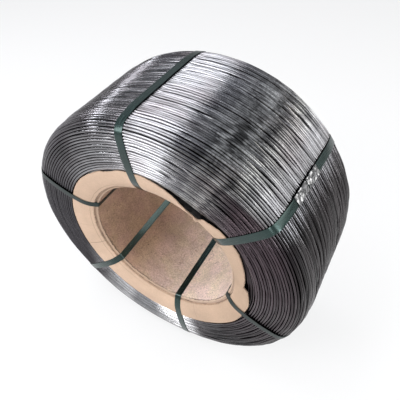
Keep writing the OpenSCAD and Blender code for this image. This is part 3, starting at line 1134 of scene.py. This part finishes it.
class COIL_OT_core_tube(bpy.types.Operator):
    """Turns the board tube, with rounded inner edges and a groove between its plies"""
    bl_idname = "coil.core_tube"
    bl_label = "Core tube"

    SEGMENTS = 240
    SHARP = math.radians(35)
    EDGE_STEPS = 6
    # Place and half width of the groove, as shares of the wall
    GROOVE_PLACE = 0.62
    GROOVE_HALF = 0.06
    # How far the wall is worn out of round, and the waves of wear round the tube and in a metre along it
    WEAR = 0.25 * MM
    WEAR_ROUND = 6
    WEAR_ALONG = 20
    # The share of its height by which the tube's ends sag, the waves of it round the tube and their salt, and
    # the share of the height past which a point is on an end
    SAG = 0.008
    SAG_ROUND = 9
    SAG_SALT = Vector((0.0, 7.0, 0.0))
    END_SHARE = 0.9

    def worn(self, p, a, top):
        """A point of the section, moved by wear, by the sag of the ends and by the chip"""
        way = round_way(a)
        wear = self.WEAR * noise.noise(way * self.WEAR_ROUND + Vector((0.0, p.y * self.WEAR_ALONG, 0.0)))
        on_end = abs(p.y) > self.END_SHARE * top
        sag = noise.noise(way * self.SAG_ROUND + self.SAG_SALT) if on_end else 0.0
        h = p.y * (1 - self.SAG * max(sag, 0.0))
        chip = hump(math.degrees(a), *TUBE_CHIP) if h > 0 else 0.0
        return Vector((p.x + wear, h - chip))

    def execute(self, context):
        _, core, _, outline = coil_plan()
        top = outline.core_half
        groove_r = outline.core_r + self.GROOVE_PLACE * core.wall
        groove_half = self.GROOVE_HALF * core.wall
        edge = Arc(outline.edge.centre, core.edge_r, math.pi, math.pi / 2)
        points = edge.points(0.0, self.EDGE_STEPS)
        points += [
            Vector((groove_r - groove_half, top)), Vector((groove_r, top - core.ply_groove)),
            Vector((groove_r + groove_half, top)), Vector((outline.tube_r, top))]
        section = both_halves(points)
        sections = []
        for i in range(self.SEGMENTS):
            a = 2 * math.pi * i / self.SEGMENTS
            sections.append((a, [self.worn(p, a, top) for p in section]))
        mesh = finish_mesh(turned_mesh("core_tube_board", sections), tube_board(core, top), self.SHARP)
        add_piece("core_tube_board", mesh, ["core_tube"])
        return {"FINISHED"}


class COIL_OT_collars(bpy.types.Operator):
    """Shapes the two dished board collars; the rim of the near one is torn"""
    bl_idname = "coil.collars"
    bl_label = "Collars"

    SEGMENTS = 720
    ROWS = 12
    SHARP = math.radians(50)
    # How ragged the torn and the whole rim are, with their waves, and the draw in mm at which a tear is full
    TORN = 1.3 * MM
    TORN_WAVES = 60
    RAGGED = 0.4 * MM
    RAGGED_WAVES = 25
    FULL_TEAR = 5
    # How far the inner edge and the face are uneven, the mean gap round the tube as a multiple of that, the
    # waves of the inner edge, and those of the face round the collar and across it
    UNEVEN = 0.25 * MM
    INNER_GAP = 1.2
    INNER_WAVES = 8
    FACE_ROUND = 5
    FACE_ACROSS = 3.0
    # How far the face of the whole collar may rise
    RISE_LIMIT = 0.2 * MM
    # How far the middle of the rim stands out, in board thicknesses
    RIM_ROUND = 0.3

    def section(self, outline, core, degrees, rim, curls):
        """Section of the collar at one angle, from the inner edge over the rim and back below"""
        way = round_way(math.radians(degrees))
        drawn_in = between(rim, degrees) if rim else 0.0
        ragged = self.TORN * noise.noise(way * self.TORN_WAVES) * min(drawn_in / self.FULL_TEAR, 1.0)
        ragged += self.RAGGED * noise.noise(way * self.RAGGED_WAVES)
        inner_r = outline.tube_r + self.UNEVEN * (self.INNER_GAP + noise.noise(way * self.INNER_WAVES))
        outer_r = outline.collar_r - drawn_in * MM + ragged
        dish = outline.dish
        top = []
        bottom = []
        for k in range(self.ROWS + 1):
            share = k / self.ROWS
            r = inner_r + (outer_r - inner_r) * share
            arc = dish if r < dish.at(dish.end).x else outline.crown
            a = arc.angle_at(0.0, r)
            across = Vector((0.0, self.FACE_ACROSS * share, 0.0))
            lift = self.UNEVEN * noise.noise(way * self.FACE_ROUND + across)
            for curl in curls:
                lift += hump(degrees, *curl) * share ** 3
            top.append(arc.at(a, lift if curls else min(lift, self.RISE_LIMIT)))
            bottom.append(arc.at(a, lift - core.collar_t))
        bottom[0] = Vector((inner_r, outline.core_half - core.collar_t))
        rim_middle = (top[-1] + bottom[-1]) / 2 + Vector((self.RIM_ROUND * core.collar_t, 0.0))
        return top + [rim_middle] + bottom[::-1]

    def execute(self, context):
        _, core, _, outline = coil_plan()
        board = collar_board(core)
        for node, near, rim, curls in (
                ("collar_near", True, NEAR_RIM, NEAR_CURLS), ("collar_far", False, (), ())):
            name = node + "_board"
            sections = []
            for i in range(self.SEGMENTS):
                degrees = -180 + 360 * i / self.SEGMENTS
                section = self.section(outline, core, degrees, rim, curls)
                if not near:
                    section = [flipped(p) for p in reversed(section)]
                sections.append((math.radians(degrees), section))
            mesh = finish_mesh(turned_mesh(name, sections), board, self.SHARP)
            add_piece(name, mesh, [node])
        return {"FINISHED"}


# Straps

class StrapPath:
    """The closed loop of a strap in the plane of the axis: points with outward directions and lengths"""

    EDGE_STEPS = 8
    DISH_STEPS = 10
    CROWN_STEPS = 16
    SHOULDER_STEPS = 12
    HAUNCH_STEPS = 10
    BARREL_STEPS = 16
    BORE_STEPS = 12

    def __init__(self, outline, d):
        half = []
        for arc, steps in (
                (outline.edge, self.EDGE_STEPS), (outline.dish, self.DISH_STEPS),
                (outline.crown, self.CROWN_STEPS), (outline.shoulder, self.SHOULDER_STEPS),
                (outline.haunch, self.HAUNCH_STEPS)):
            # The last point of an arc is the first one of the next
            angles = arc.angles(steps) if arc is outline.haunch else arc.angles(steps)[:-1]
            half += [(arc.at(a, d), direction(a)) for a in angles]
        bore_end = half[0][0]
        barrel_end = Vector((outline.coil_r + d, half[-1][0].y))
        barrel = self.straight(barrel_end, self.BARREL_STEPS, 0.0)
        far = [(flipped(p), flipped(n)) for p, n in reversed(half)]
        bore = self.straight(flipped(bore_end), self.BORE_STEPS, math.pi)
        self.spots = half + barrel + far + bore
        self.lengths = [0.0]
        for (p, _), (q, _) in zip(self.spots, self.spots[1:]):
            self.lengths.append(self.lengths[-1] + (q - p).length)

    @staticmethod
    def straight(start, steps, a):
        """Points between one end of a straight stretch and its mirror image"""
        return [(Vector((start.x, start.y * (1 - 2 * i / steps))), direction(a)) for i in range(1, steps)]


def smooth(value, low, high):
    """Smooth step from 0 at low to 1 at high"""
    x = min(max((value - low) / (high - low), 0.0), 1.0)
    return x * x * (3 - 2 * x)


# Section of a band: places across its width, and how far its upper face rises there, in thicknesses
BAND_PLACES = (-0.5, -0.46, -0.2, 0.2, 0.46, 0.5)
BAND_RISES = (-0.12, 0.0, 0.05, 0.05, 0.0, -0.12)


def band_mesh(name, width, thickness, *runs):
    """Mesh of flat bands: each run is a list of (point, outward, across, length), and is closed or not"""
    verts = []
    faces = []
    uvs = []
    for spots, closed in runs:
        faces += strip_faces(len(verts), len(spots), 2 * len(BAND_PLACES), closed, flip=True)
        for point, outward, across, run in spots:
            upper = [(place, 1 + rise) for place, rise in zip(BAND_PLACES, BAND_RISES)]
            lower = [(place, 0.0) for place in reversed(BAND_PLACES)]
            for place, height in upper + lower:
                verts.append(point + across * (place * width) + outward * (thickness * height))
                uvs.append((place + 0.5, run))
    mesh = new_mesh(name, verts, faces)
    layer = mesh.uv_layers.new(name="band")
    for loop in mesh.loops:
        layer.data[loop.index].uv = uvs[loop.vertex_index]
    return mesh


# How far a point of a strap's loop has to face the far side or outwards to be on the far end or on the barrel
FACES_FAR = 0.5
FACES_OUT = 0.99


def joint_spots(path, outline, straps, on_end):
    """The stretch of a strap's loop that carries its joint, with the free end towards the far end"""
    half = straps.seal_l + straps.seal_space / 2
    if on_end:
        low = outline.crown.centre.x - half
        high = outline.crown.centre.x + half + straps.tail_l
        return [i for i, (p, n) in enumerate(path.spots) if n.y < -FACES_FAR and low < p.x < high]
    low = straps.joint_shift - half - straps.tail_l
    high = straps.joint_shift + half
    return [i for i, (p, n) in enumerate(path.spots) if n.x > FACES_OUT and low < p.y < high]


class COIL_OT_straps(bpy.types.Operator):
    """Bends the flat painted straps round the winding, with the second layer of each joint"""
    bl_idname = "coil.straps"
    bl_label = "Straps"

    SHARP = math.radians(30)
    # Radii between which a tipped strap turns on edge, and those between which it lies flat again
    TIP_RISE = (176 * MM, 200 * MM)
    TIP_FALL = (280 * MM, 312 * MM)
    # How far a strap sways sideways, how often in a metre, and what sets the straps apart
    SWAY = 0.5 * MM
    SWAYS = 9
    SWAY_SALT = 5.3
    # Sets the rubbed pattern of the second layer apart
    LAP_SHIFT = 0.37

    def tip(self, straps, number, p):
        """How far a strap is tipped at a point of its loop"""
        if p.y < 0:
            return 0.0
        share = smooth(p.x, *self.TIP_RISE) * (1 - smooth(p.x, *self.TIP_FALL))
        return straps.tips[number] * share

    def spot(self, straps, number, p, n, run):
        """Point of a strap with its directions and length, from a point of the loop"""
        sway = self.SWAY * noise.noise(Vector((run * self.SWAYS, number * self.SWAY_SALT, 0.0)))
        turn = straps.angles[number] - straps.leans[number] * p.y
        across = Vector((math.cos(turn), 0.0, -math.sin(turn)))
        outward = on_coil(n.x, n.y, turn) - Vector((0.0, 0.0, CENTRE.z))
        point = on_coil(p.x, p.y, turn, sway)
        tip = self.tip(straps, number, p)
        if tip:
            point += outward * (straps.strap_w / 2 * abs(math.sin(tip)))
            flat = outward
            outward = flat * math.cos(tip) - across * math.sin(tip)
            across = across * math.cos(tip) + flat * math.sin(tip)
        return point, outward, across, run

    def execute(self, context):
        _, _, straps, outline = coil_plan()
        glossy = strap_paint(straps, "strap_paint")
        # The tipped straps take a copy of the paint that is darker, as painted shade, and rougher with less
        # coat
        dull = strap_paint(straps, "strap_paint_dull", shade=0.6, dullness=0.2, coat=0.05)
        path = StrapPath(outline, outline.strap_gap)
        for number, letter in enumerate(STRAP_LETTERS):
            spots = []
            for (p, n), run in zip(path.spots, path.lengths):
                spots.append(self.spot(straps, number, p, n, run))
            lap = []
            for i in joint_spots(path, outline, straps, on_end=(letter == "a")):
                point, outward, across, run = spots[i]
                lap.append((point + outward * straps.strap_t, outward, across, run + self.LAP_SHIFT))
            node = "strap_" + letter
            mesh = band_mesh(node, straps.strap_w, straps.strap_t, (spots, True), (lap, False))
            finish_mesh(mesh, dull if straps.tips[number] else glossy, self.SHARP)
            add_piece("band_" + letter, mesh, [node])
        return {"FINISHED"}


# Seals

class COIL_OT_seals(bpy.types.Operator):
    """Folds two crimped seals over the joint of each strap"""
    bl_idname = "coil.seals"
    bl_label = "Seals"

    SHARP = math.radians(18)
    STATIONS = 65
    SHARES = (-1.0, -0.88, -0.72, -0.54, -0.36, -0.18, 0.0, 0.18, 0.36, 0.54, 0.72, 0.88, 1.0)
    NOTCHES = (-9.5 * MM, 9.5 * MM)
    NOTCH_HALF = 3.2 * MM
    NOTCH_DEPTH = 2.4 * MM
    NOTCH_FLARE = 1.5 * MM
    # Crumpled face: heights of folds and creases, how many in a metre and across half the width, how deep
    # they go in sheet thicknesses, and what sets the creases and the seals apart
    FOLD = 1.4 * MM
    FOLDS = (90, 1.1)
    CREASE = 0.7 * MM
    CREASES = (150, 1.9)
    DEEPEST = 0.7
    CREASE_SALT = 9
    SEAL_SALT = 2.7
    # How far the face drops at its edges and how sharply it turns there, how far the sides belly out, and at
    # what share of their height
    EDGE_DROP = 0.25 * MM
    EDGE_POWER = 4
    BELLY = 0.1 * MM
    BELLY_PLACE = 0.45

    def dent(self, straps, s, share, key):
        """How far the crumpled face stands out at a place"""
        fold = noise.noise(Vector((s * self.FOLDS[0], share * self.FOLDS[1], key)))
        spot = Vector((s * self.CREASES[0], share * self.CREASES[1], key + self.CREASE_SALT))
        crease = 0.5 - abs(noise.noise(spot))
        return max(self.FOLD * fold + self.CREASE * crease, -self.DEEPEST * straps.seal_t)

    def seal_rows(self, straps, core, key):
        """Sections of one seal: rows of (along, across, outward) over its outer and inner faces"""
        sheet = straps.seal_t
        half_w = straps.strap_w / 2 + core.seat_gap + sheet
        height = 2 * straps.strap_t + core.seat_gap
        rows = []
        for i in range(self.STATIONS):
            s = straps.seal_l * (i / (self.STATIONS - 1) - 0.5)
            pressed = max(max(0.0, 1 - abs(s - n) / self.NOTCH_HALF) for n in self.NOTCHES)
            row = []
            for share in self.SHARES:
                edge = abs(share) ** self.EDGE_POWER
                across = share * (half_w - edge * pressed * self.NOTCH_DEPTH)
                flare = edge * (pressed * self.NOTCH_FLARE - self.EDGE_DROP)
                row.append((s, across, height + sheet + self.dent(straps, s, share, key) + flare))
            right = half_w - pressed * self.NOTCH_DEPTH
            side = (
                (right + self.BELLY, self.BELLY_PLACE * height), (right, 0.0),
                (right - sheet, 0.0), (right - sheet, height))
            row += [(s, across, rise) for across, rise in side]
            row += [(s, -across, rise) for across, rise in reversed(side)]
            rows.append(row)
        return rows

    def seat(self, winding, straps, outline, on_end, reach):
        """Middle of a seal below its sheet, and its directions along the strap and outwards"""
        if not on_end:
            middle = Vector((outline.coil_r + outline.strap_gap, straps.joint_shift + reach))
            return middle, Vector((0.0, 1.0)), Vector((1.0, 0.0))
        tilt = math.pi / 2 - reach / winding.crown_r
        out = Vector((math.cos(tilt), -math.sin(tilt)))
        middle = flipped(outline.crown.centre) + out * (winding.crown_r + outline.strap_gap)
        return middle, Vector((math.sin(tilt), math.cos(tilt))), out

    def execute(self, context):
        winding, core, straps, outline = coil_plan()
        zinc = seal_zinc(straps)
        reach = (straps.seal_l + straps.seal_space) / 2
        for number, letter in enumerate(STRAP_LETTERS):
            verts = []
            faces = []
            for k in (-1, 1):
                middle, run, out = self.seat(winding, straps, outline, letter == "a", k * reach)
                rows = self.seal_rows(straps, core, number * self.SEAL_SALT + k)
                faces += strip_faces(len(verts), len(rows), len(rows[0]), closed=False)
                for row in rows:
                    for s, across, rise in row:
                        p = middle + run * s + out * rise
                        turn = straps.angles[number] - straps.leans[number] * p.y
                        verts.append(on_coil(p.x, p.y, turn, across))
            node = "seals_" + letter
            mesh = finish_mesh(new_mesh(node, verts, faces), zinc, self.SHARP)
            add_piece("clips_" + letter, mesh, [node])
        return {"FINISHED"}


# Stage

class COIL_OT_stage(bpy.types.Operator):
    """Sets up the floor, the lights and the camera"""
    bl_idname = "coil.stage"
    bl_label = "Stage"

    FLOOR_HALF = 6.0
    # How much of the floor shows as plain white to the camera and in the metal; the rest takes shadows
    WHITE_SHARE = 0.72
    # What the camera sees behind the floor
    BACKDROP = Vector((0.97, 0.97, 0.97))
    # Rows of lights on the ceiling: how many in a radian, and how bright they are between and on the rows
    ROWS = 14.0
    ROW_GAIN = (0.3, 2.0)
    SENSOR_MM = 36
    CLIP_START = 0.01
    LAMPS = (
        # name, azimuth, elevation, distance, shift to the front, width, height, watts, colour
        ("lamp_key", -90, 66, 2.0, 0.7, 3.2, 0.8, 37, (0.98, 0.99, 1.0)),
        ("lamp_front", -38, 28, 2.2, 0.0, 0.75, 1.2, 19, (0.99, 0.99, 1.0)),
        ("lamp_side", 39, 11, 2.2, 0.0, 0.35, 0.5, 4, (1.0, 1.0, 1.0)),
        ("lamp_back", 103, 32, 2.2, 0.0, 3.2, 1.2, 34, (1.0, 1.0, 0.97)),
        ("lamp_right", 80, 11, 2.2, 0.0, 0.6, 0.4, 9, (0.93, 0.97, 1.0)),
        ("lamp_low", -90, 25, 2.2, 0.0, 1.2, 0.14, 10, (0.95, 0.97, 1.0)),
    )

    def execute(self, context):
        scene = context.scene
        stage = scene.coil_stage
        scene.view_settings.view_transform = "Standard"
        self.floor(stage)
        self.world(scene)
        for name, azimuth, elevation, distance, forward, width, height, watts, shade in self.LAMPS:
            lamp = bpy.data.lights.new(name, "AREA")
            lamp.shape = "RECTANGLE"
            lamp.size = width
            lamp.size_y = height
            lamp.energy = watts
            lamp.color = shade
            thing = self.aimed(name, lamp, math.radians(azimuth), math.radians(elevation), distance)
            thing.location.y -= forward
        camera = bpy.data.cameras.new("camera")
        camera.lens = stage.lens
        camera.sensor_width = self.SENSOR_MM
        camera.shift_x, camera.shift_y = stage.shift
        camera.clip_start = self.CLIP_START
        scene.camera = self.aimed("camera", camera, stage.azimuth, stage.elevation, stage.distance)
        return {"FINISHED"}

    def floor(self, stage):
        half = self.FLOOR_HALF
        corners = [(-half, -half, 0), (half, -half, 0), (half, half, 0), (-half, half, 0)]
        mesh = new_mesh("floor", corners, [(0, 1, 2, 3)])
        material, graph, shader = new_material("floor")
        base = Vector(stage.floor)
        grain = graph.ramp(graph.noise(graph.point(), 2.0), (0.0, base * 0.99), (1.0, base * 1.01))
        graph.feed(shader, {"Base Color": grain, "Roughness": 0.9, "Specular IOR Level": 0.0})
        path = graph.add("ShaderNodeLightPath").outputs
        seen = graph.math("MAXIMUM", path["Is Camera Ray"], path["Is Glossy Ray"])
        seen = graph.math("MAXIMUM", seen, path["Is Transmission Ray"])
        white = graph.add("ShaderNodeEmission", {"Color": (1.0, 1.0, 1.0, 1.0), "Strength": 1.0})
        mixed = graph.add("ShaderNodeMixShader", {
            0: graph.product(seen, self.WHITE_SHARE), 1: shader.outputs[0], 2: white.outputs[0]})
        graph.feed(node_of(graph.tree, "OUTPUT_MATERIAL"), {"Surface": mixed.outputs[0]})
        mesh.materials.append(material)
        in_scene("floor", mesh)

    def world(self, scene):
        """Pale walls round a dim ceiling with rows of lights along the coil's axis; white to the camera"""
        world = bpy.data.worlds.new("studio")
        world.use_nodes = True
        graph = Graph(world.node_tree)
        parts = graph.parts(graph.add("ShaderNodeTexCoord").outputs["Generated"])
        sky = graph.ramp(
            parts["Z"], (0.0, (0.35, 0.35, 0.35)), (0.25, (0.25, 0.25, 0.26)),
            (0.6, (0.39, 0.4, 0.44)), (1.0, (0.41, 0.43, 0.48)))
        turn = graph.math("ARCTAN2", parts["X"], parts["Z"])
        rows = graph.noise(graph.combined(graph.product(turn, self.ROWS), parts["Y"], 0.0), 1.0, detail=1.0)
        lit = graph.shaded(sky, graph.range(rows, 0.4, 0.62, *self.ROW_GAIN))
        seen = graph.add("ShaderNodeLightPath").outputs["Is Camera Ray"]
        shown = graph.mix(seen, lit, self.BACKDROP)
        graph.feed(node_of(graph.tree, "BACKGROUND"), {"Color": shown, "Strength": 1.0})
        scene.world = world

    def aimed(self, name, data, azimuth, elevation, distance):
        """Object at a direction from the coil's middle, looking at it"""
        back = Vector((
            math.sin(azimuth) * math.cos(elevation),
            -math.cos(azimuth) * math.cos(elevation),
            math.sin(elevation)))
        thing = in_scene(name, data)
        thing.location = CENTRE + back * distance
        thing.rotation_euler = back.to_track_quat("Z", "Y").to_euler()
        return thing


class COIL_PT_panel(bpy.types.Panel):
    """Lists the steps that dress the coil"""
    bl_label = "Wire coil"
    bl_idname = "COIL_PT_panel"
    bl_space_type = "VIEW_3D"
    bl_region_type = "UI"
    bl_category = "Wire coil"

    def draw(self, context):
        for operator in OPERATORS:
            self.layout.operator(operator.bl_idname)


OPERATORS = (
    COIL_OT_wire_turns, COIL_OT_wire_depth, COIL_OT_core_tube, COIL_OT_collars,
    COIL_OT_straps, COIL_OT_seals, COIL_OT_stage)
GROUPS = {
    "coil_winding": WindingSettings, "coil_core": CoreSettings,
    "coil_straps": StrapSettings, "coil_stage": StageSettings}


def register():
    for cls in (*GROUPS.values(), *OPERATORS, COIL_PT_panel):
        bpy.utils.register_class(cls)
    for name, group in GROUPS.items():
        setattr(bpy.types.Scene, name, PointerProperty(type=group))


def unregister():
    for name in GROUPS:
        delattr(bpy.types.Scene, name)
    for cls in (COIL_PT_panel, *reversed(OPERATORS), *reversed(GROUPS.values())):
        bpy.utils.unregister_class(cls)


def main():
    register()
    bpy.ops.coil.wire_turns()
    bpy.ops.coil.wire_depth()
    bpy.ops.coil.core_tube()
    bpy.ops.coil.collars()
    bpy.ops.coil.straps()
    bpy.ops.coil.seals()
    bpy.ops.coil.stage()
    bpy.context.view_layer.update()


if __name__ == "__main__":
    main()
